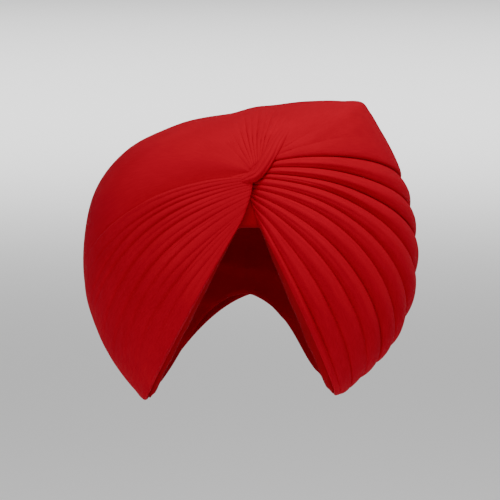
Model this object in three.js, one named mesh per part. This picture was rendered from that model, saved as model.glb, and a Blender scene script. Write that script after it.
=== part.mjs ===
import * as THREE from 'three';

// Tied turban, all sizes in millimetres. +X is to the right of a viewer facing its front,
// the front faces -Y and +Z is up. Z is 0 at the lower edge of the cloth on the forehead.

const RED = 0xa61011;            // plain dyed cotton
const FAN_X = 7.6;               // the point at the front where all folds meet
const FAN_RISE = 18.7;           // its height, before the lean
const LEAN = Math.tan(THREE.MathUtils.degToRad(7));   // the wraps sit tipped back on the head
const FRONT_DEPTH = 124;         // from the ears forward to the knot
const BACK_DEPTH = 138;          // from the ears back
const FRONT_ROUND = 2.1;         // fullness of the front and back curves, 2 is an ellipse
const BACK_ROUND = 2.2;
const CORNER_EASE = [-20, -10, 0, 10, 20];   // the crown's corner softens away from its rim
const TURN_THICK = 3.2;          // one folded turn of the stacked layers
const TURN_GAP = 0.6;            // air between two turns
const TURN_TUCK = 1.7;           // width of a turn over its visible share
const TURN_PUFF = 1.1;           // how far the turns bulge past the crown
const WRAP_THICK = 2.6;          // crown cover and side wrap
const EDGE_ROUND = 1.2;          // rounding of their folded edges
const GATHER_TALL = 0.9;         // fine gathers above the knot
const FOLD_TALL = 0.9;           // fan of folds in the side wrap
const LAP_GAP = 0.8;             // air where the crown cover runs in under the side wrap
const BACK_GAP = 1.5;            // air where the side wrap laps over the turns at the back
const ROLL_BASE = 1.7;           // underside of the roll over the knot
const ROLL_EDGE = 0.5;           // thickness of the roll at its edges
const WALL_GAP = 1.5;            // air between the outer turns and the first turns
const PATCH_DEPTH = 5.4;         // forehead patch below the outer form
const BACK_CLEAR = 11.2;         // first turns below the outer form at the back
const HEAD = { x: -1.5, y: -4, halfWide: 76, halfLong: 97, domeFrom: 2, domeRise: 64 };

// The front outline about the fan point: reach in each direction, and how far back it lies.
const OUTLINE = [
  { turn: -90, reach: 165, back: 0 },
  { turn: -80, reach: 171, back: -10 },
  { turn: -68.2, reach: 190, back: -15 },
  { turn: -60, reach: 185, back: -12 },
  { turn: -48, reach: 177, back: -6 },
  { turn: -36, reach: 165.5, back: 0 },
  { turn: -24, reach: 153, back: 2 },
  { turn: -12, reach: 140.5, back: 3 },
  { turn: 0, reach: 130.5, back: 3 },
  { turn: 12, reach: 122, back: 2 },
  { turn: 24, reach: 117, back: -2 },
  { turn: 33, reach: 116, back: -7 },
  { turn: 38, reach: 115, back: -10 },
  { turn: 44, reach: 103, back: -12 },
  { turn: 56, reach: 86, back: -16 },
  { turn: 72, reach: 72, back: -20 },
  { turn: 88, reach: 66.5, back: -20 },
  { turn: 104, reach: 63.5, back: -20 },
  { turn: 118, reach: 67, back: -18 },
  { turn: 132, reach: 75, back: -14 },
  { turn: 148, reach: 88.5, back: -8 },
  { turn: 164, reach: 109.5, back: -2 },
  { turn: 180, reach: 130, back: 2 },
  { turn: 196, reach: 146.5, back: 3 },
  { turn: 212, reach: 165, back: 0 },
  { turn: 228, reach: 183.5, back: -6 },
  { turn: 240, reach: 197, back: -12 },
  { turn: 244, reach: 200, back: -15 },
  { turn: 256, reach: 178, back: -10 },
  { turn: 270, reach: 165, back: 0 },
];

// Fold lines in order from the right face edge, over the crown, to the left face edge.
// knot: where a line starts, from the fan point's level. fan and side: its direction at the
// knot and where it goes round the side. nape: where it ends at the back.
const LINES = [
  { knotX: 15, knotZ: -33.6, fan: -66, side: -68.2, napeX: -8, napeZ: -88 },
  { knotX: 14.2, knotZ: -27, fan: -62, side: -66.6, napeX: -8, napeZ: -78.5 },
  { knotX: 13.6, knotZ: -20.2, fan: -49.5, side: -63, napeX: -8, napeZ: -69 },
  { knotX: 13.2, knotZ: -13.4, fan: -37, side: -57.8, napeX: -8, napeZ: -59 },
  { knotX: 13, knotZ: -8.4, fan: -26, side: -52, napeX: -8, napeZ: -49 },
  { knotX: 13, knotZ: -3.2, fan: -14, side: -45, napeX: -8, napeZ: -39 },
  { knotX: 13.2, knotZ: 0.8, fan: -6.5, side: -35, napeX: -8, napeZ: -28.5 },
  { knotX: 14, knotZ: 5.4, fan: -1.5, side: -23.5, napeX: -8, napeZ: -18 },
  { knotX: 15.5, knotZ: 9.6, fan: 3.5, side: -14, napeX: -8, napeZ: -8 },
  { knotX: 18, knotZ: 14.3, fan: 10.5, side: -5.5, napeX: -8, napeZ: 2 },
  { knotX: 22.5, knotZ: 20, fan: 20, side: 4.5, napeX: -4, napeZ: 13 },
  { knotX: 23, knotZ: 24, fan: 38, side: 27, napeX: 4, napeZ: 18 },
  { knotX: 19, knotZ: 22, fan: 60, side: 50, napeX: 4, napeZ: 18 },
  { knotX: 13, knotZ: 18, fan: 84, side: 78, napeX: 4, napeZ: 18 },
  { knotX: 8, knotZ: 14, fan: 108, side: 106, napeX: 4, napeZ: 18 },
  { knotX: 6.5, knotZ: 11.5, fan: 136, side: 140, napeX: 4, napeZ: 18 },
  { knotX: 7, knotZ: 9.5, fan: 160, side: 178, napeX: 12, napeZ: 26 },
  { knotX: 7.5, knotZ: 7, fan: 176, side: 207, napeX: 36, napeZ: 36 },
  { knotX: 8, knotZ: 2.5, fan: 187, side: 215, napeX: 34.5, napeZ: 15 },
  { knotX: 7.5, knotZ: -3, fan: 198, side: 222, napeX: 33, napeZ: -6 },
  { knotX: 6, knotZ: -10, fan: 209, side: 228, napeX: 31.5, napeZ: -27 },
  { knotX: 3.5, knotZ: -18, fan: 220, side: 233.5, napeX: 30, napeZ: -48 },
  { knotX: 0.5, knotZ: -26, fan: 231.5, side: 239, napeX: 28.5, napeZ: -68 },
  { knotX: -3.5, knotZ: -33.6, fan: 242.5, side: 243.8, napeX: 27, napeZ: -88 },
];
const CROWN_EDGE = 10;           // the line where the crown cover laps over the top layer
const SIDE_EDGE = 17;            // the line where the side wrap laps over the crown cover
const LAST = LINES.length - 1;
const CROWN_END = { x: 4, z: 18 };

// Stations along every line, in degrees from the knot (0) round the side (90) to the nape (180).
const STATIONS = [0, 4, 9, 15, 22, 30, 39, 48, 58, 68, 78, 88, 98, 108, 118, 128, 138, 148, 158, 168, 176];

const rad = THREE.MathUtils.degToRad;
const mix = THREE.MathUtils.lerp;
const ease = (x, from, to) => THREE.MathUtils.smoothstep(x, from, to);

// Smooth curve through one column of a table, by the value of another column.
function along(table, key, x, column) {
  let i = 0;
  while (i < table.length - 2 && table[i + 1][key] <= x) i += 1;
  const slope = (j) => {
    const a = table[Math.max(j - 1, 0)];
    const b = table[Math.min(j + 1, table.length - 1)];
    return (b[column] - a[column]) / (b[key] - a[key]);
  };
  const p = table[i];
  const q = table[i + 1];
  const h = q[key] - p[key];
  const t = (x - p[key]) / h;
  return p[column] * (1 + 2 * t) * (1 - t) ** 2 + q[column] * t * t * (3 - 2 * t)
    + h * (slope(i) * t * (1 - t) ** 2 + slope(i + 1) * t * t * (t - 1));
}

LINES.forEach((line, order) => { line.order = order; });
const lineAt = (order, column) => along(LINES, 'order', THREE.MathUtils.clamp(order, 0, LAST), column);

function outline(turn, column) {
  const wrapped = ((turn + 90) % 360 + 360) % 360 - 90;
  return along(OUTLINE, 'turn', wrapped, column);
}

// A point of the form seen from the front at x and z, raised off it by lift.
function place(x, z, lift, behind) {
  const turn = THREE.MathUtils.radToDeg(Math.atan2(z, x - FAN_X));
  const far = Math.hypot(x - FAN_X, z);
  const reach = outline(turn, 'reach');
  const around = CORNER_EASE.map((swing) => outline(turn + swing, 'reach'));
  const eased = around.reduce((sum, one) => sum + one, 0) / around.length;
  const outward = Math.min(far / (reach + lift), 1);
  const share = Math.min(far / (mix(eased, reach, outward ** 3) + lift), 1);
  const rim = outline(turn, 'back');
  const round = behind ? BACK_ROUND : FRONT_ROUND;
  const bulge = (1 - share ** round) ** (1 / round);
  const y = behind ? rim + (BACK_DEPTH + lift - rim) * bulge : rim - (FRONT_DEPTH + lift + rim) * bulge;
  return new THREE.Vector3(x, y, z - y * LEAN + FAN_RISE);
}

// A point on fold line number order, at a station, raised by lift.
function onLine(order, station, lift, end) {
  const behind = station > 90;
  const fan = lineAt(order, 'fan');
  const side = lineAt(order, 'side');
  const past = (station - 90) / 90;
  const turn = side + (side - fan) * past * (behind ? (1 - past) ** 2 : 1);
  const fromX = behind ? (end ? end.x : lineAt(order, 'napeX')) : lineAt(order, 'knotX');
  const fromZ = behind ? (end ? end.z : lineAt(order, 'napeZ')) : lineAt(order, 'knotZ');
  const reach = outline(turn, 'reach') + lift;
  const swing = Math.sin(rad(station));
  const x = fromX + swing * (FAN_X + reach * Math.cos(rad(turn)) - fromX);
  const z = fromZ + swing ** (behind ? 2 : 1) * (reach * Math.sin(rad(turn)) - fromZ);
  return place(x, z, lift, behind);
}

// Closed mesh from a list of triangles, facing outward.
function solid(name, triangles, colour) {
  const apart = (a, b) => a.distanceTo(b) > 1e-3;
  const kept = triangles.filter(([a, b, c]) => apart(a, b) && apart(b, c) && apart(c, a));
  const volume = kept.reduce((sum, [a, b, c]) => sum + a.dot(b.clone().cross(c)), 0);
  const points = kept.flatMap(([a, b, c]) => (volume > 0 ? [a, b, c] : [a, c, b]));
  const geometry = new THREE.BufferGeometry().setFromPoints(points);
  geometry.computeVertexNormals();
  const mesh = new THREE.Mesh(geometry, new THREE.MeshStandardMaterial({ color: colour, roughness: 0.9 }));
  mesh.name = name;
  return mesh;
}

const quad = (a, b, c, d) => [[a, b, c], [a, c, d]];

// Sheet between an outer and an inner grid of points, closed along all four edges.
function sheetSolid(name, orders, stations, outer, inner) {
  const top = stations.map((s) => orders.map((w) => outer(w, s)));
  const low = stations.map((s) => orders.map((w) => inner(w, s)));
  const faces = [];
  for (let j = 0; j + 1 < stations.length; j += 1) {
    for (let i = 0; i + 1 < orders.length; i += 1) {
      faces.push(...quad(top[j][i], top[j + 1][i], top[j + 1][i + 1], top[j][i + 1]));
      faces.push(...quad(low[j][i], low[j][i + 1], low[j + 1][i + 1], low[j + 1][i]));
    }
    const n = orders.length - 1;
    faces.push(...quad(top[j][0], low[j][0], low[j + 1][0], top[j + 1][0]));
    faces.push(...quad(top[j][n], top[j + 1][n], low[j + 1][n], low[j][n]));
  }
  const m = stations.length - 1;
  for (let i = 0; i + 1 < orders.length; i += 1) {
    faces.push(...quad(top[0][i], top[0][i + 1], low[0][i + 1], low[0][i]));
    faces.push(...quad(top[m][i], low[m][i], low[m][i + 1], top[m][i + 1]));
  }
  return solid(name, faces, RED);
}

const steps = (from, to, count) => Array.from({ length: count + 1 }, (_, i) => mix(from, to, i / count));

// The stacked turns thin out where they are pinched at the knot.
const pinch = (station) => mix(0.45, 1, ease(station, 2, 42));
const neck = (station) => mix(0.5, 1, ease(station, 0, 20));

// Underside of a stacked turn, at share q of its visible width up from its lower edge.
function turnInner(q, station) {
  const depth = TURN_THICK + (TURN_THICK + TURN_GAP) * q + 0.9 * (1 - ease(q, 0, 0.3));
  return TURN_PUFF * ease(station, 24, 60) - pinch(station) * depth;
}

// One stacked turn: its lower edge stands proud and its upper part runs in under the next turn.
function stackedTurn(number) {
  const edge = CROWN_EDGE - number;
  const shape = [
    { q: 0.0, fill: 0.25 },
    { q: 0.15, fill: 0.9 },
    { q: 0.45, fill: 1.25 },
    { q: 0.75, fill: 1.15 },
    { q: 1.05, fill: 0.7 },
    { q: TURN_TUCK, fill: 0.5 },
  ];
  shape.forEach((row) => { row.order = edge + row.q; });
  const fill = (order) => shape.find((row) => Math.abs(row.order - order) < 1e-6).fill;
  const outer = (w, s) => onLine(w, s, turnInner(w - edge, s) + pinch(s) * TURN_THICK * fill(w));
  const inner = (w, s) => onLine(w, s, turnInner(w - edge, s));
  const name = `layer_${String(number).padStart(2, '0')}`;
  return sheetSolid(name, shape.map((row) => row.order), STATIONS, outer, inner);
}

// Crown cover: smooth over the top, finely gathered above the knot, tucked under the side wrap.
function crownCover() {
  const gathered = steps(11.8, 14.4, 13);
  const plain = [14.8, 15.2, 15.6, 16, 16.3, 16.6, 16.9, 17.4];
  const orders = [CROWN_EDGE, 10.12, 10.5, 11, 11.25, 11.5, ...gathered, ...plain];
  const dip = (w, s) => -(WRAP_THICK + LAP_GAP) * ease(w, 16.1, 16.9) * neck(s);
  const gathers = (w, s) => {
    const spread = ease(w, 11.8, 12.3) * (1 - ease(w, 13.9, 14.4)) * ease(s, 3, 14) * (1 - ease(s, 48, 74));
    return GATHER_TALL * spread * Math.cos(Math.PI * 2 * (w - 11.8) / 0.4);
  };
  const hem = (w, s) => (w === CROWN_EDGE ? EDGE_ROUND * neck(s) : 0);
  const outer = (w, s) => onLine(w, s, dip(w, s) + gathers(w, s) - hem(w, s), CROWN_END);
  const inner = (w, s) => onLine(w, s, dip(w, s) - WRAP_THICK * neck(s), CROWN_END);
  return sheetSolid('crown_cover', orders, STATIONS, outer, inner);
}

// Side wrap: gathered at the knot into a fan of folds that fade out toward the ear,
// carried round the back and lapped over the ends of the stacked turns.
function sideWrap() {
  const orders = [SIDE_EDGE - 0.12, ...steps(SIDE_EDGE, LAST, 24)];
  const lap = (s) => (WRAP_THICK + BACK_GAP) * ease(s, 108, 140);
  const folds = (w, s) => {
    const tall = FOLD_TALL + 0.4 * Math.sin(4.6 * w);
    return tall * ease(s, 4, 16) * (1 - ease(s, 42, 78)) * Math.cos(Math.PI * 2 * (w - SIDE_EDGE) / 0.5);
  };
  const outer = (w, s) => onLine(w, s, lap(s) + (w < SIDE_EDGE ? -EDGE_ROUND * neck(s) : folds(w, s)));
  const inner = (w, s) => onLine(w, s, lap(s) - WRAP_THICK * neck(s));
  return sheetSolid('side_wrap', orders, STATIONS, outer, inner);
}

// Front tuck: the top folds of the side wrap twisted into a roll that runs up over the crown.
function frontTuck() {
  const path = [
    { step: 0, x: -7, z: 3.6, half: 2.2, rise: 0.8 },
    { step: 1, x: 1.5, z: 4.6, half: 3.6, rise: 2.2 },
    { step: 2, x: 9, z: 7.2, half: 4.6, rise: 3.4 },
    { step: 3, x: 15.5, z: 14, half: 5, rise: 3.8 },
    { step: 4, x: 21.5, z: 23.5, half: 5, rise: 3.4 },
    { step: 5, x: 28, z: 34.5, half: 4.8, rise: 2.4 },
    { step: 6, x: 34, z: 45.5, half: 4.2, rise: 1.2 },
    { step: 7, x: 38, z: 53, half: 3.2, rise: 0.5 },
  ];
  const at = (s, column) => along(path, 'step', s, column);
  const spots = steps(0, 7, 14);
  const across = [-1, -0.6, 0, 0.6, 1];
  const spot = (u, s, lift) => {
    const dx = at(s + 0.05, 'x') - at(s - 0.05, 'x');
    const dz = at(s + 0.05, 'z') - at(s - 0.05, 'z');
    const offset = u * at(s, 'half') / Math.hypot(dx, dz);
    return place(at(s, 'x') + offset * dz, at(s, 'z') - offset * dx, lift, false);
  };
  const crest = (u, s) => at(s, 'rise') * Math.sqrt(1 - 0.95 * u * u);
  const outer = (u, s) => spot(u, s, ROLL_BASE + ROLL_EDGE + crest(u, s));
  const inner = (u, s) => spot(u, s, ROLL_BASE);
  return sheetSolid('front_tuck', across, spots, outer, inner);
}

// First turns wound round the head: a thick wall with the head hollow open below and at the face.
function underWrap() {
  const perSide = 8;
  const right = steps(0, CROWN_EDGE, perSide);
  const left = steps(LAST, SIDE_EDGE, perSide);
  const crown = [11, 11.6, 12.4, 13.2, 14, 15, 16];
  const orders = [...right, ...crown, ...left.slice().reverse()];
  const upFromEdge = (w) => {
    if (w <= CROWN_EDGE) return w / CROWN_EDGE;
    return w >= SIDE_EDGE ? (LAST - w) / (LAST - SIDE_EDGE) : 1;
  };
  const nape = (w) => ({ x: 2, z: mix(LINES[0].napeZ, CROWN_END.z, upFromEdge(w)) });
  const depth = (w) => {
    const stacked = TURN_THICK + WALL_GAP + (TURN_THICK + TURN_GAP) * Math.min(w, TURN_TUCK);
    const covered = WRAP_THICK + WALL_GAP + 2 * (1 - ease(w, 12, 12.8))
      + 3.4 * ease(w, 15.4, 16.2) * (1 - ease(w, 17.6, 18.4));
    return mix(stacked, covered, ease(w, 10.9, 11.6));
  };
  const lift = (w, s) => {
    const thin = w < 11 ? pinch(s) : 1;
    const front = mix(PATCH_DEPTH, depth(w) * thin, ease(s, 0, 14));
    return -mix(front, BACK_CLEAR, ease(s, 120, 150));
  };
  const stations = [...STATIONS.slice(0, -1), 180];
  const outer = (w, s) => onLine(w, s, lift(w, s), nape(w));
  // the matching point of the head hollow: straight in toward the head's axis, domed above
  const hollow = (p) => {
    const up = Math.max(p.z - HEAD.domeFrom, 0);
    const dx = p.x - HEAD.x;
    const dy = p.y - HEAD.y;
    const scale = 1 / Math.hypot(dx / HEAD.halfWide, dy / HEAD.halfLong, up / HEAD.domeRise);
    const z = Math.min(p.z, HEAD.domeFrom) + up * scale;
    return new THREE.Vector3(HEAD.x + dx * scale, HEAD.y + dy * scale, z);
  };
  const skin = stations.map((s) => orders.map((w) => outer(w, s)));
  const lining = skin.map((row) => row.map(hollow));
  const faces = [];
  const n = orders.length - 1;
  for (let j = 0; j + 1 < stations.length; j += 1) {
    for (let i = 0; i < n; i += 1) {
      faces.push(...quad(skin[j][i], skin[j + 1][i], skin[j + 1][i + 1], skin[j][i + 1]));
      faces.push(...quad(lining[j][i], lining[j][i + 1], lining[j + 1][i + 1], lining[j + 1][i]));
    }
    faces.push(...quad(skin[j][0], lining[j][0], lining[j + 1][0], skin[j + 1][0]));
    faces.push(...quad(skin[j][n], skin[j + 1][n], lining[j + 1][n], lining[j][n]));
  }
  // the patch on the forehead between the two fans of folds
  for (let i = 0; i < perSide; i += 1) {
    faces.push(...quad(skin[0][i], skin[0][i + 1], skin[0][n - i - 1], skin[0][n - i]));
    faces.push(...quad(lining[0][i], lining[0][n - i], lining[0][n - i - 1], lining[0][i + 1]));
  }
  for (let i = perSide; i + 1 < n - perSide; i += 1) {
    faces.push([skin[0][i], skin[0][i + 1], skin[0][n - perSide]]);
    faces.push([lining[0][i], lining[0][n - perSide], lining[0][i + 1]]);
  }
  faces.push(...quad(skin[0][0], skin[0][n], lining[0][n], lining[0][0]));
  return solid('under_wrap', faces, RED);
}

const turban = new THREE.Group();
turban.name = 'turban';
turban.add(underWrap());
for (let number = CROWN_EDGE; number >= 1; number -= 1) turban.add(stackedTurn(number));
turban.add(crownCover(), sideWrap(), frontTuck());

export default turban;
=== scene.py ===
import math

import bmesh
import bpy
import numpy as np
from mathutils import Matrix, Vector


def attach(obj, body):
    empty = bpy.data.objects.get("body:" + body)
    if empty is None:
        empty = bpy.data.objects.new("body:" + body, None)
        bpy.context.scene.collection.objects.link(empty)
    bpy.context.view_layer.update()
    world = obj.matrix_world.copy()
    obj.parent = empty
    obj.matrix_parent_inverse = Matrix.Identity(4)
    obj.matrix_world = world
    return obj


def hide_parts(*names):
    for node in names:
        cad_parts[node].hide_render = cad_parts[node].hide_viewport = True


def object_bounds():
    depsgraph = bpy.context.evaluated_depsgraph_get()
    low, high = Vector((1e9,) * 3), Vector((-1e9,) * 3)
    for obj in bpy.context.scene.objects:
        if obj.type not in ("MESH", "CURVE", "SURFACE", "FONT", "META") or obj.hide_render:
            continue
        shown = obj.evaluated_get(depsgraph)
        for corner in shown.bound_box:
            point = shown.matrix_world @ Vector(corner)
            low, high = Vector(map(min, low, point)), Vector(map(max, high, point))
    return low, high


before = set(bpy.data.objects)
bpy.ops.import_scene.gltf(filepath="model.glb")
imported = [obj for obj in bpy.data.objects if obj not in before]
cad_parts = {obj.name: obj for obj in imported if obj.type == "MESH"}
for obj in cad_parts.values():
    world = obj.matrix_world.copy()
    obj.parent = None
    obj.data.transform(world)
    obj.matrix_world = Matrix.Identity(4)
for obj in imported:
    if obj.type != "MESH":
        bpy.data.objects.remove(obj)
cad_box = [list(corner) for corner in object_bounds()]

# Under wrap
# The first turns of thin cotton, wound close round the head: a thick soft wall, open below and at
# the face. It shows on the forehead and inside, and every other piece is wound over it.
# Sizes are in millimetres until a point is put in a mesh.
FAN_X = 7.6
FAN_RISE = 18.7
LEAN = math.tan(math.radians(7))
FRONT_DEPTH = 124
BACK_DEPTH = 138
FRONT_ROUND = 2.1
BACK_ROUND = 2.2
CROWN_EDGE = 10
SIDE_EDGE = 17
LAST_LINE = 23
CROWN_END = (4, 18)
# the front outline about the point where the folds meet: direction in degrees, reach, set-back
OUTLINE = np.array([
    (-90, 165, 0), (-80, 171, -10), (-68.2, 190, -15), (-60, 185, -12), (-48, 177, -6),
    (-36, 165.5, 0), (-24, 153, 2), (-12, 140.5, 3), (0, 130.5, 3), (12, 122, 2),
    (24, 117, -2), (33, 116, -7), (38, 115, -10), (44, 103, -12), (56, 86, -16),
    (72, 72, -20), (88, 66.5, -20), (104, 63.5, -20), (118, 67, -18), (132, 75, -14),
    (148, 88.5, -8), (164, 109.5, -2), (180, 130, 2), (196, 146.5, 3), (212, 165, 0),
    (228, 183.5, -6), (240, 197, -12), (244, 200, -15), (256, 178, -10), (270, 165, 0),
], float)
# fold lines from the right face edge, over the crown, to the left face edge:
# start at the knot x and z, direction at the knot and at the side, end at the nape x and z
LINES = np.array([
    (15, -33.6, -66, -68.2, -8, -88), (14.2, -27, -62, -66.6, -8, -78.5),
    (13.6, -20.2, -49.5, -63, -8, -69), (13.2, -13.4, -37, -57.8, -8, -59),
    (13, -8.4, -26, -52, -8, -49), (13, -3.2, -14, -45, -8, -39),
    (13.2, 0.8, -6.5, -35, -8, -28.5), (14, 5.4, -1.5, -23.5, -8, -18),
    (15.5, 9.6, 3.5, -14, -8, -8), (18, 14.3, 10.5, -5.5, -8, 2),
    (22.5, 20, 20, 4.5, -4, 13), (23, 24, 38, 27, 4, 18),
    (19, 22, 60, 50, 4, 18), (13, 18, 84, 78, 4, 18),
    (8, 14, 108, 106, 4, 18), (6.5, 11.5, 136, 140, 4, 18),
    (7, 9.5, 160, 178, 12, 26), (7.5, 7, 176, 207, 36, 36),
    (8, 2.5, 187, 215, 34.5, 15), (7.5, -3, 198, 222, 33, -6),
    (6, -10, 209, 228, 31.5, -27), (3.5, -18, 220, 233.5, 30, -48),
    (0.5, -26, 231.5, 239, 28.5, -68), (-3.5, -33.6, 242.5, 243.8, 27, -88),
], float)
HEAD_X, HEAD_Y = -1.5, -4
HEAD_HALF = (76, 97)
DOME_FROM, DOME_RISE = 2, 64
TURN_THICK = 3.2
TURN_STEP = 3.8
TURN_TUCK = 1.7
WRAP_THICK = 2.6
WALL_GAP = 1.5
PATCH_DEPTH = 5.4
BACK_CLEAR = 11.2


def curve(knots, values, x):
    """Smooth curve through the knots and values, at x."""
    knots = np.asarray(knots, float)
    values = np.asarray(values, float)
    slope = np.gradient(values, knots)
    slope[1:-1] = (values[2:] - values[:-2]) / (knots[2:] - knots[:-2])
    i = np.clip(np.searchsorted(knots, x, side="right") - 1, 0, len(knots) - 2)
    h = knots[i + 1] - knots[i]
    t = (x - knots[i]) / h
    level = values[i] * (1 + 2 * t) * (1 - t) ** 2 + values[i + 1] * t * t * (3 - 2 * t)
    return level + h * (slope[i] * t * (1 - t) ** 2 + slope[i + 1] * t * t * (t - 1))


def ease(x, start, stop):
    """A soft step from 0 at start to 1 at stop."""
    t = np.clip((x - start) / (stop - start), 0, 1)
    return t * t * (3 - 2 * t)


def mix(a, b, share):
    return a + (b - a) * share


def ripple(a, b, seed, count=5):
    """Slow uneven waves over two coordinates, between about -1 and 1."""
    draw = np.random.default_rng(seed)
    total = 0
    for _ in range(count):
        fa, fb = draw.normal(0, 1, 2)
        total = total + np.sin(fa * a + fb * b + draw.uniform(0, 6.28))
    return total / count ** 0.5 / 1.4


def outline(turn, column):
    """A column of the front outline in the direction turn, in degrees."""
    return curve(OUTLINE[:, 0], OUTLINE[:, column], (turn + 90) % 360 - 90)


def place(x, z, lift, behind):
    """A point of the form seen from the front at x and z, raised off it by lift, in metres."""
    turn = np.degrees(np.arctan2(z, x - FAN_X))
    far = np.hypot(x - FAN_X, z)
    reach = outline(turn, 1)
    # the crown's corner softens away from its rim
    eased = sum(outline(turn + swing, 1) for swing in (-20, -10, 0, 10, 20)) / 5
    outward = np.minimum(far / (reach + lift), 1)
    share = np.minimum(far / (mix(eased, reach, outward ** 3) + lift), 1)
    rim = outline(turn, 2)
    power = np.where(behind, BACK_ROUND, FRONT_ROUND)
    bulge = (1 - share ** power) ** (1 / power)
    deep = np.where(behind, BACK_DEPTH + lift - rim, -(FRONT_DEPTH + lift + rim))
    y = rim + deep * bulge
    return np.stack([x, y, z - y * LEAN + FAN_RISE], axis=-1) * 0.001


def on_line(order, station, lift, end=None):
    """A point on a fold line, at a station in degrees from the knot round to the nape."""
    order = np.clip(order, 0, LAST_LINE)
    numbers = np.arange(len(LINES))
    knot_x, knot_z, fan, side, nape_x, nape_z = (curve(numbers, LINES[:, c], order) for c in range(6))
    if end is not None:
        nape_x, nape_z = end
    behind = station > 90
    past = (station - 90) / 90
    turn = side + (side - fan) * past * np.where(behind, (1 - past) ** 2, 1)
    reach = outline(turn, 1) + lift
    from_x = np.where(behind, nape_x, knot_x)
    from_z = np.where(behind, nape_z, knot_z)
    swing = np.sin(np.radians(station))
    x = from_x + swing * (FAN_X + reach * np.cos(np.radians(turn)) - from_x)
    z = from_z + swing ** np.where(behind, 2, 1) * (reach * np.sin(np.radians(turn)) - from_z)
    return place(x, z, lift, behind)


def pinch(station):
    """The stacked turns thin out where they are pinched at the knot."""
    return mix(0.45, 1, ease(station, 2, 42))


def neck(station):
    """The wide wraps thin out where they are drawn together at the knot."""
    return mix(0.5, 1, ease(station, 0, 20))


def cloth_grid(columns, rows, position):
    """A grid of cloth whose points are set by their place across and along, both from 0 to 1."""
    bm = bmesh.new()
    bm.loops.layers.uv.verify()
    bmesh.ops.create_grid(bm, x_segments=columns, y_segments=rows, size=0.5, calc_uvs=True)
    across, along = (np.array([v.co[i] for v in bm.verts]) + 0.5 for i in (0, 1))
    for vert, point in zip(bm.verts, position(across, along)):
        vert.co = point
    return bm


def cloth_piece(bm, name, material, cut, thickness=0.0):
    """The finished piece, its UV map in metres of cloth, facing outwards."""
    middle = Vector((0, 0, -0.03))
    facing = sum(f.calc_area() * f.normal.dot(f.calc_center_median() - middle) for f in bm.faces)
    if facing < 0:
        bmesh.ops.reverse_faces(bm, faces=bm.faces)
    for face in bm.faces:
        face.smooth = True
    mesh = bpy.data.meshes.new(name)
    bm.to_mesh(mesh)
    bm.free()
    uv = np.empty(len(mesh.loops) * 2)
    mesh.uv_layers[0].data.foreach_get("uv", uv)
    mesh.uv_layers[0].data.foreach_set("uv", (uv.reshape(-1, 2) * cut).ravel())
    mesh.materials.append(material)
    piece = bpy.data.objects.new(name, mesh)
    bpy.context.collection.objects.link(piece)
    if thickness:
        ply = piece.modifiers.new("ply", "SOLIDIFY")
        ply.thickness = thickness
        ply.offset = -1
    return piece


def wire(tree, start, stop):
    tree.links.new(start, stop)


def cotton_weave_group():
    """Thread by thread relief and uneven dye of plain cotton: puts out a colour and a height."""
    group = bpy.data.node_groups.new("cotton weave", "ShaderNodeTree")
    for label, kind, way in (
        ("Cloth", "NodeSocketVector", "INPUT"), ("Dye", "NodeSocketColor", "INPUT"),
        ("Threads", "NodeSocketFloat", "INPUT"),
        ("Colour", "NodeSocketColor", "OUTPUT"), ("Height", "NodeSocketFloat", "OUTPUT"),
    ):
        group.interface.new_socket(label, in_out=way, socket_type=kind)
    node = group.nodes.new
    given = node("NodeGroupInput")
    out = node("NodeGroupOutput")
    threads = node("ShaderNodeVectorMath")
    threads.operation = "SCALE"
    wire(group, given.outputs["Cloth"], threads.inputs[0])
    wire(group, given.outputs["Threads"], threads.inputs["Scale"])
    waves = node("ShaderNodeVectorMath")
    waves.operation = "SINE"
    wire(group, threads.outputs[0], waves.inputs[0])
    split = node("ShaderNodeSeparateXYZ")
    wire(group, waves.outputs[0], split.inputs[0])
    crossing = node("ShaderNodeMath")
    crossing.operation = "MULTIPLY"
    wire(group, split.outputs[0], crossing.inputs[0])
    wire(group, split.outputs[1], crossing.inputs[1])
    slub = node("ShaderNodeTexNoise")
    slub.inputs["Scale"].default_value = 1
    slub.inputs["Detail"].default_value = 3
    stretch = node("ShaderNodeVectorMath")
    stretch.operation = "MULTIPLY"
    stretch.inputs[1].default_value = (900, 70, 1)
    wire(group, given.outputs["Cloth"], stretch.inputs[0])
    wire(group, stretch.outputs[0], slub.inputs["Vector"])
    height = node("ShaderNodeMath")
    height.operation = "MULTIPLY_ADD"
    height.inputs[1].default_value = 0.5
    wire(group, crossing.outputs[0], height.inputs[0])
    wire(group, slub.outputs[0], height.inputs[2])
    wire(group, height.outputs[0], out.inputs["Height"])
    patch = node("ShaderNodeTexNoise")
    patch.inputs["Scale"].default_value = 22
    patch.inputs["Detail"].default_value = 4
    wire(group, given.outputs["Cloth"], patch.inputs["Vector"])
    both = node("ShaderNodeMath")
    both.operation = "ADD"
    wire(group, patch.outputs[0], both.inputs[0])
    wire(group, slub.outputs[0], both.inputs[1])
    shade = node("ShaderNodeMapRange")
    shade.inputs["From Min"].default_value = 0.6
    shade.inputs["From Max"].default_value = 1.4
    shade.inputs["To Min"].default_value = 0.9
    shade.inputs["To Max"].default_value = 1.1
    wire(group, both.outputs[0], shade.inputs["Value"])
    tint = node("ShaderNodeVectorMath")
    tint.operation = "SCALE"
    wire(group, given.outputs["Dye"], tint.inputs[0])
    wire(group, shade.outputs[0], tint.inputs["Scale"])
    wire(group, tint.outputs[0], out.inputs["Colour"])
    return group


cotton_weave = cotton_weave_group()
THREAD_PITCH = 0.00055


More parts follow.
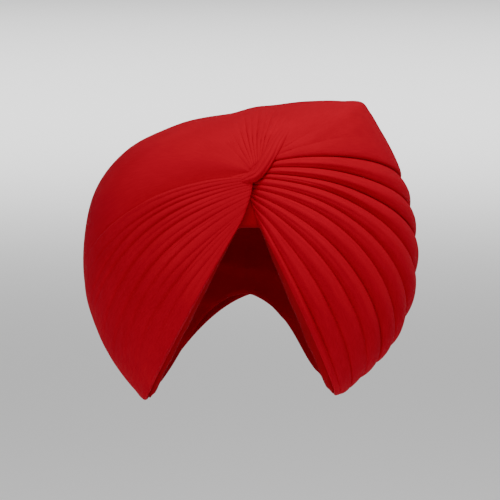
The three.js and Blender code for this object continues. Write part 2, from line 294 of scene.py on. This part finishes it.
def dyed_cotton(name, dye):
    """Matte plain-woven cotton with a soft bloom of loose fibres."""
    material = bpy.data.materials.new(name)
    material.use_nodes = True
    tree = material.node_tree
    shader = tree.nodes["Principled BSDF"]
    shader.inputs["Roughness"].default_value = 0.9
    shader.inputs["Specular IOR Level"].default_value = 0.05
    shader.inputs["Sheen Weight"].default_value = 0.01
    shader.inputs["Sheen Roughness"].default_value = 0.45
    shader.inputs["Sheen Tint"].default_value = (1, 0.1, 0.1, 1)
    place_on_cloth = tree.nodes.new("ShaderNodeUVMap")
    weave = tree.nodes.new("ShaderNodeGroup")
    weave.node_tree = cotton_weave
    weave.inputs["Dye"].default_value = dye
    weave.inputs["Threads"].default_value = 2 * math.pi / THREAD_PITCH
    wire(tree, place_on_cloth.outputs[0], weave.inputs["Cloth"])
    bump = tree.nodes.new("ShaderNodeBump")
    bump.inputs["Strength"].default_value = 0.35
    bump.inputs["Distance"].default_value = 0.00012
    wire(tree, weave.outputs["Colour"], shader.inputs["Base Color"])
    wire(tree, weave.outputs["Height"], bump.inputs["Height"])
    wire(tree, bump.outputs["Normal"], shader.inputs["Normal"])
    return material


# The under wrap is the same red cotton as the rest, given a darker dye here as painted shade for its
# shadowed face on the forehead and inside.
under_cotton_painted_shade = dyed_cotton("under cotton painted shade", (0.3, 0.002, 0.009, 1))
UNDER_PER_SIDE = 24
UNDER_CROWN = 30
UNDER_RIM = 6
UNDER_ROWS = 110
UNDER_MIDLINE = -8
EDGE_ROUND = 0.0016
BAND_START = 300
BAND_SLANT = 16
BAND_TALL = 34
under_orders = np.concatenate([
    np.linspace(LAST_LINE, SIDE_EDGE, UNDER_PER_SIDE + 1),
    np.linspace(SIDE_EDGE, CROWN_EDGE, UNDER_CROWN + 1)[1:-1],
    np.linspace(CROWN_EDGE, 0, UNDER_PER_SIDE + 1),
])
rim_steps = np.arange(1, UNDER_RIM) / UNDER_RIM
# one loop of columns: over the outside, round the right face edge, back inside, round the left edge
under_columns = np.concatenate([
    under_orders, np.zeros(len(rim_steps)),
    under_orders[::-1], np.full(len(rim_steps), LAST_LINE), under_orders[:1],
])
under_inward = np.concatenate([
    np.zeros(len(under_orders)), rim_steps, np.ones(len(under_orders)), rim_steps[::-1], [0],
])


def under_lift(order, station):
    """How far the wall lies below the form, to leave room for the cloth that is wound over it."""
    turns = TURN_THICK + WALL_GAP + TURN_STEP * np.minimum(order, TURN_TUCK)
    covers = WRAP_THICK + WALL_GAP + 2 * (1 - ease(order, 12, 12.8))
    covers = covers + 3.4 * ease(order, 15.4, 16.2) * (1 - ease(order, 17.6, 18.4))
    depth = mix(turns, covers, ease(order, 10.9, 11.6)) * np.where(order < 11, pinch(station), 1)
    front = mix(-PATCH_DEPTH, -depth, ease(station, 0, 14))
    return mix(front, -BACK_CLEAR, ease(station, 120, 150))


def head_hollow(point):
    """The matching point of the hollow, straight in toward the head's axis and domed above."""
    p = point * 1000
    up = np.maximum(p[:, 2] - DOME_FROM, 0)
    dx, dy = p[:, 0] - HEAD_X, p[:, 1] - HEAD_Y
    scale = 1 / np.sqrt((dx / HEAD_HALF[0]) ** 2 + (dy / HEAD_HALF[1]) ** 2 + (up / DOME_RISE) ** 2)
    # the edges of the turns inside show as low slanting bands
    band = (p[:, 2] + BAND_START + BAND_SLANT * np.sin(np.arctan2(dx, -dy))) / BAND_TALL % 1
    scale = scale * (1 + 0.016 * (ease(band, 0, 0.75) - ease(band, 0.93, 1)) - 0.012)
    low = np.minimum(p[:, 2], DOME_FROM)
    return np.stack([HEAD_X + dx * scale, HEAD_Y + dy * scale, low + up * scale], axis=-1) * 0.001


def under_points(across, along):
    column = np.rint(across * (len(under_columns) - 1)).astype(int)
    order, inward = under_columns[column], under_inward[column]
    station = mix(UNDER_MIDLINE, 180, along)
    share = np.where(order <= CROWN_EDGE, order / CROWN_EDGE, (LAST_LINE - order) / (LAST_LINE - SIDE_EDGE))
    share = np.where((order > CROWN_EDGE) & (order < SIDE_EDGE), 1, share)
    end = (2, mix(LINES[0, 5], CROWN_END[1], share))
    on_form = np.maximum(station, 0)
    skin = on_line(order, on_form, under_lift(order, on_form), end)
    at_knot = 0 * share
    right = on_line(CROWN_EDGE * share, at_knot, at_knot - PATCH_DEPTH)
    left = on_line(LAST_LINE - (LAST_LINE - SIDE_EDGE) * share, at_knot, at_knot - PATCH_DEPTH)
    to_middle = np.maximum(station / UNDER_MIDLINE, 0)[:, None]
    skin = mix(skin, (right + left) / 2, to_middle)
    lining = head_hollow(skin)
    point = mix(skin, lining, inward[:, None])
    point[:, 2] -= EDGE_ROUND * np.sin(np.pi * inward)
    return point


bm = cloth_grid(len(under_columns) - 1, UNDER_ROWS, under_points)
bmesh.ops.remove_doubles(bm, verts=bm.verts, dist=2e-5)
bmesh.ops.recalc_face_normals(bm, faces=bm.faces)
under_wrap = cloth_piece(bm, "under_wrap_cloth", under_cotton_painted_shade, (0.9, 0.45))
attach(under_wrap, "root")
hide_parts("under_wrap")

# Stacked turns
# Ten turns of the long cotton length, each folded along its lower edge, lapped like shingles from
# the face edge up to the crown. They are pinched at the knot and held by the pull of the wrap.
red_cotton = dyed_cotton("red cotton", (0.42, 0.002, 0.014, 1))
TURN_COUNT = 10
TURN_PUFF = 1.1
TURN_DROOP = 0.6
TURN_FLAT = -2.4
TURN_EDGE = 0.8
PLY = 0.0009
# the cloth of each turn laid flat, from the top turn down
TURN_LENGTH = 0.42
TURN_WIDTHS = (0.045, 0.04, 0.046, 0.055, 0.051, 0.044, 0.039, 0.036, 0.03, 0.02)
TURN_COLUMNS = 48
TURN_ROWS = 180
TURN_START, TURN_END = -4, 176
# across one turn, from its hidden upper edge over the hump, round the folded edge to the inner ply:
# place across, share of the visible band, lift
TURN_FOLD = np.array([
    (0, 1.62, -7.4), (0.12, 1.3, -6.6), (0.22, 1.05, -5.4), (0.28, 0.94, -4.0), (0.36, 0.8, -2.1),
    (0.46, 0.62, -0.8), (0.54, 0.48, -0.5), (0.64, 0.3, -1.1), (0.72, 0.15, -2.3), (0.77, 0.05, -3.4),
    (TURN_EDGE, 0, -4.2), (0.83, 0.03, -4.8), (0.88, 0.15, -5.1), (1, 0.5, -5.6),
])


def turn_points(number):
    edge = TURN_COUNT - number
    low = ease(number, 6, 9)

    def points(across, along):
        station = mix(TURN_START, TURN_END, along)
        band = curve(TURN_FOLD[:, 0], TURN_FOLD[:, 1], across)
        lift = curve(TURN_FOLD[:, 0], TURN_FOLD[:, 2], across)
        hump = ease(band, -0.1, 0.4) * (1 - ease(band, 0.7, 1.1))
        # the lower turns are drawn flatter where they pass round the side, the lowest soonest
        drawn = mix(0.3, 0.92, ease(number, 4, 9)) * ease(station, 55 - 25 * low, 85 - 20 * low)
        drawn = drawn * (1 - 0.5 * ease(station, 100, 130)) * (1 - ease(band, 0.82 + 0.05 * low, 0.98))
        drawn = drawn * (across < TURN_EDGE) * ease(band, -0.05, 0.1 - 0.04 * low)
        lift = mix(lift, TURN_FLAT - 0.5 * low, drawn)
        lift = pinch(station) * (lift + 0.3 * ripple(station / 25, 0 * station, 40 + number) * hump)
        shown = ease(band, 0.05, 0.2) * (1 - ease(band, 0.8, 1.0)) * (across < TURN_EDGE)
        strain = 0.2 * ease(station, 3, 12) * (1 - ease(station, 30, 75))
        wave = 2 * np.pi * 2.5 * band + 2.5 * ripple(station / 30, band, number)
        lift = lift + strain * shown * np.sin(wave)
        lift = lift + TURN_PUFF * ease(station, 24, 60) - 5.5 * (1 - ease(station, TURN_START, 4))
        wander = 0.05 * ripple(station / 18, 0 * station, number) * ease(station, 10, 40) * (edge > 0)
        order = edge + band + wander
        # the turns sink a little under their own weight on the way round the side
        sink = TURN_DROOP * ease(station, 15, 85) * (1 - ease(station, 95, 150))
        order = order - sink * np.sin(np.pi * np.clip(order / CROWN_EDGE, 0, 1))
        return on_line(order, station, lift)

    return points


for number in range(1, TURN_COUNT + 1):
    bm = cloth_grid(TURN_COLUMNS, TURN_ROWS, turn_points(number))
    node = f"layer_{number:02d}"
    turn_cut = (TURN_WIDTHS[number - 1], TURN_LENGTH)
    turn = cloth_piece(bm, f"{node}_cloth", red_cotton, turn_cut, PLY)
    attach(turn, "root")
    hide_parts(node)

# Crown cover
# The last spread of the same cotton, drawn smooth over the top and finely gathered above the knot.
# Its folded edge laps over the top turn, and its far edge runs in under the side wrap.
CROWN_COLUMNS = 300
CROWN_ROWS = 140
CROWN_START = -3
CROWN_CUT = (0.31, 0.36)
# across the folded edge and the spread: place across, fold line, lift
CROWN_FOLD = np.array([
    (0, 10.4, -3.2), (0.02, 10.15, -3.3), (0.03, 10.03, -3.1), (0.037, 10, -2.5), (0.045, 10.04, -1.6),
    (0.06, 10.16, -0.7), (0.09, 10.45, -0.1), (0.2, 11.4, 0), (0.6, 14.5, 0), (0.85, 16.2, 0), (1, 17.4, 0),
])
# creases between the gathers above the knot, with softer ones to either side of it:
# fold line, depth, width, how far they run, depth near the tucked end
CROWN_CREASES = (
    (10.62, 0.7, 0.14, 62, 0), (11.1, 0.5, 0.12, 54, 0.5), (11.95, 0.5, 0.08, 40, 0.9),
    (12.3, 0.8, 0.07, 58, 0), (12.52, 0.7, 0.06, 64, 0.7), (12.75, 1.0, 0.07, 70, 0),
    (12.96, 0.7, 0.06, 62, 0.8), (13.2, 1.1, 0.07, 74, 0), (13.42, 0.8, 0.06, 64, 0.6),
    (13.66, 1.0, 0.07, 68, 0), (13.92, 0.8, 0.07, 58, 0.9), (14.2, 0.6, 0.08, 48, 0),
    (14.6, 0.4, 0.1, 38, 0.8), (15.2, 0, 0.14, 38, 0.9), (15.8, 0, 0.14, 38, 0.6),
)


def crown_points(across, along):
    station = mix(CROWN_START, TURN_END, along)
    order = curve(CROWN_FOLD[:, 0], CROWN_FOLD[:, 1], across)
    lift = curve(CROWN_FOLD[:, 0], CROWN_FOLD[:, 2], across) * neck(station)
    lift = lift - 3.4 * ease(order, 15.3, 16.9) * neck(station) * mix(1, 0.45, ease(station, 25, 50))
    outer = ease(across, 0.06, 0.09)
    for line, deep, wide, until, tucked in CROWN_CREASES:
        off = order - line - 0.03 * ripple(station / 20, 0 * station, int(line * 100))
        run = deep * ease(station, 0, 9) * (1 - ease(station, until - 36, until + 4))
        run = run + tucked * ease(station, 118, 158)
        lift = lift - outer * run * np.exp(-np.abs(off) / wide)
    gathered = ease(order, 11.6, 12.4) * (1 - ease(order, 14.2, 15)) * (1 - ease(station, 30, 70))
    lift = lift + 0.5 * gathered + 0.4 * outer * ripple(order * 1.4, station / 22, 7) * ease(station, 20, 50)
    lift = lift - 3 * (1 - ease(station, CROWN_START, 1.5))
    return on_line(order, station, lift, CROWN_END)


bm = cloth_grid(CROWN_COLUMNS, CROWN_ROWS, crown_points)
crown_cover = cloth_piece(bm, "crown_cover_cloth", red_cotton, CROWN_CUT, PLY)
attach(crown_cover, "root")
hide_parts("crown_cover")

# Side wrap
# The far end of the length, drawn from the knot across the other side of the head in a fan of soft
# folds, then round the back, where it laps over the ends of the stacked turns and is tucked.
SIDE_COLUMNS = 300
SIDE_ROWS = 140
SIDE_CUT = (0.18, 0.43)
SIDE_DROOP = 1.3
# across, from the folded upper edge to the folded face edge: place across, fold line, lift
SIDE_FOLD = np.array([
    (0, 17.35, -1.7), (0.02, 17.12, -1.7), (0.03, 17.02, -1.4), (0.037, 17, -0.9), (0.044, 17.03, -0.4),
    (0.06, 17.14, 0), (0.5, 20, 0), (0.94, 22.88, 0), (0.955, 22.97, -0.5), (0.963, 23, -1.2),
    (0.97, 22.98, -1.8), (0.98, 22.88, -2.2), (1, 22.6, -2.2),
])
# creases of the fan: fold line, depth, station where they have faded, depth near the tucked end
SIDE_CREASES = (
    (17.3, 1.0, 54, 0.6), (17.62, 1.9, 66, 0), (18.02, 2.2, 74, 1.2), (18.36, 2.6, 76, 0),
    (18.66, 1.4, 60, 1.5), (19.08, 2.6, 74, 0), (19.4, 1.4, 56, 0.9), (19.8, 2.8, 70, 1.6),
    (20.08, 1.2, 48, 0), (20.5, 2.3, 66, 1.1), (21.0, 1.8, 56, 1.5), (21.4, 2.4, 66, 0),
    (21.72, 1.4, 46, 0.9), (22.12, 1.9, 58, 1.1), (22.5, 1.0, 42, 0),
)


def side_points(across, along):
    station = TURN_END * along
    order = curve(SIDE_FOLD[:, 0], SIDE_FOLD[:, 1], across)
    lift = curve(SIDE_FOLD[:, 0], SIDE_FOLD[:, 2], across) * neck(station)
    outer = ease(across, 0.044, 0.06) * (1 - ease(across, 0.94, 0.96))
    for line, deep, gone, tucked in SIDE_CREASES:
        droop = SIDE_DROOP * math.sin(math.pi * (line - SIDE_EDGE) / (LAST_LINE - SIDE_EDGE))
        crease_line = line + droop * ease(station, 18, 90)
        off = order - crease_line - 0.09 * ripple(station / 14, 0 * station, int(line * 100))
        crease = np.exp(-np.abs(off) / np.where(off > 0, 0.2, 0.1))
        faded = 0.72 * ease(station, gone - 36, gone) + 0.28 * ease(station, gone - 8, gone + 24)
        run = deep * mix(0.16, 1, ease(station, 2, 30)) * (1 - faded)
        run = run + tucked * ease(station, 112, 168)
        lift = lift + outer * (0.3 - crease) * run
    lift = lift + 0.45 * outer * ripple(order * 1.2, station / 24, 11) * ease(station, 30, 60)
    # past the knot the upper edge lies pressed flat on the crown, and at the back the end laps over
    lift = lift - 0.9 * ease(station, 20, 45) * (1 - ease(order, 17.05, 18.2))
    lift = lift + 3.1 * ease(station, 108, 140) - 1.2 * ease(station, 162, 174)
    # the end hem turns in and presses down among the turns
    lift = lift - 4.6 * ease(station, 173, TURN_END + 0.4)
    return on_line(order, station, lift)


bm = cloth_grid(SIDE_COLUMNS, SIDE_ROWS, side_points)
side_wrap = cloth_piece(bm, "side_wrap_cloth", red_cotton, SIDE_CUT, PLY)
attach(side_wrap, "root")
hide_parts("side_wrap")

# Front tuck
# The neck of the side wrap, twisted into a roll at the knot and laid up over the crown, where its
# end is tucked in among the gathers.
TUCK_COLUMNS = 64
TUCK_ROWS = 140
TUCK_CUT = (0.026, 0.07)
# along the roll: step, x, z, half width, height, base lift
TUCK_PATH = np.array([
    (0, -9, 3.4, 2.2, 0.8, -1.2), (1, 1.5, 4.6, 3.6, 2.4, -0.4), (2, 9, 7.2, 4.6, 3.8, 0.2),
    (3, 15.5, 14, 5, 4.2, 0.4), (4, 21.5, 23.5, 5, 3.8, 0.4), (5, 28, 34.5, 4.8, 2.8, 0.2),
    (6, 34, 45.5, 4.2, 1.5, 0), (7, 39, 55, 3, 0.3, -0.6),
])
# across the roll, from its left edge over the crest and under its right side: place, sideways, height
TUCK_ROUND = np.array([
    (0, -1.7, -0.3), (0.2, -1.1, 0.3), (0.4, -0.5, 0.78), (0.55, 0, 1), (0.7, 0.5, 0.86),
    (0.8, 0.85, 0.45), (0.86, 1, 0), (0.9, 0.93, -0.3), (1, 0.5, -0.6),
])
TUCK_STRANDS = 3
TUCK_SIDE = 0.86


def tuck_points(across, along):
    steps = TUCK_PATH[:, 0]
    step = steps[-1] * along
    x, z, half, rise, base = (curve(steps, TUCK_PATH[:, c], step) for c in range(1, 6))
    dx, dz = (curve(steps, np.gradient(TUCK_PATH[:, c]), step) for c in (1, 2))
    speed = np.hypot(dx, dz)
    u = curve(TUCK_ROUND[:, 0], TUCK_ROUND[:, 1], across) * half
    lift = base + rise * curve(TUCK_ROUND[:, 0], TUCK_ROUND[:, 2], across)
    strand = across / TUCK_SIDE * TUCK_STRANDS + 0.9 * along + 0.2 * ripple(step, across, 3)
    groove = np.abs(np.sin(np.pi * strand)) ** 0.7
    lift = lift + 0.3 * rise * (groove - 0.7) * ease(across, 0.02, 0.2) * (1 - ease(across, 0.8, 0.92))
    return place(x + u * dz / speed, z - u * dx / speed, lift, np.zeros(len(x), bool))


bm = cloth_grid(TUCK_COLUMNS, TUCK_ROWS, tuck_points)
front_tuck = cloth_piece(bm, "front_tuck_cloth", red_cotton, TUCK_CUT, PLY)
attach(front_tuck, "root")
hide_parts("front_tuck")

# Studio
# A plain white floor some way below the turban, which is held up as if worn. Soft light comes from
# the front and above, a third lamp lights the floor far behind, and the camera looks a little down.
AIM = Vector((0.0059, 0, -0.0337))
FLOOR_DROP = 0.2
FLOOR_Z = cad_box[0][2] - FLOOR_DROP
bm = bmesh.new()
bmesh.ops.create_grid(bm, x_segments=1, y_segments=1, size=12)
bmesh.ops.translate(bm, verts=bm.verts, vec=(0, 4, FLOOR_Z))
floor_mesh = bpy.data.meshes.new("floor")
bm.to_mesh(floor_mesh)
bm.free()
floor_paint = bpy.data.materials.new("white floor")
floor_paint.use_nodes = True
floor_shader = floor_paint.node_tree.nodes["Principled BSDF"]
floor_shader.inputs["Base Color"].default_value = (0.9, 0.9, 0.9, 1)
floor_shader.inputs["Roughness"].default_value = 0.9
floor_mesh.materials.append(floor_paint)
floor = bpy.data.objects.new("floor", floor_mesh)
bpy.context.collection.objects.link(floor)

world = bpy.data.worlds.new("white studio")
world.use_nodes = True
sky = world.node_tree.nodes["Background"]
sky.inputs["Color"].default_value = (1, 1, 1, 1)
sky.inputs["Strength"].default_value = 0.4
bpy.context.scene.world = world

# name, place, aim, size and power of each lamp
for name, spot, aim, size, power in (
    ("key", (0.42, -0.8, 1.5), AIM, 0.45, 25),
    ("fill", (-1.1, -1.5, 0.6), AIM, 1.2, 7),
    ("backdrop", (0, 6.5, 2.4), Vector((0, 7.5, 0)), 7, 420),
):
    lamp = bpy.data.lights.new(name, "AREA")
    lamp.size = size
    lamp.energy = power
    light = bpy.data.objects.new(name, lamp)
    light.location = spot
    light.rotation_mode = "QUATERNION"
    light.rotation_quaternion = (aim - Vector(spot)).to_track_quat("-Z", "Y")
    bpy.context.collection.objects.link(light)

CAMERA_AWAY = 3.0
CAMERA_RISE = math.radians(7)
FRAME_WIDTH = 0.42
SENSOR_WIDTH = 36
lens = bpy.data.cameras.new("camera")
lens.sensor_width = SENSOR_WIDTH
lens.lens = SENSOR_WIDTH * CAMERA_AWAY / FRAME_WIDTH
camera = bpy.data.objects.new("camera", lens)
toward = Vector((0, math.cos(CAMERA_RISE), -math.sin(CAMERA_RISE)))
camera.location = AIM - toward * CAMERA_AWAY
camera.rotation_mode = "QUATERNION"
camera.rotation_quaternion = toward.to_track_quat("-Z", "Y")
bpy.context.collection.objects.link(camera)
bpy.context.scene.camera = camera
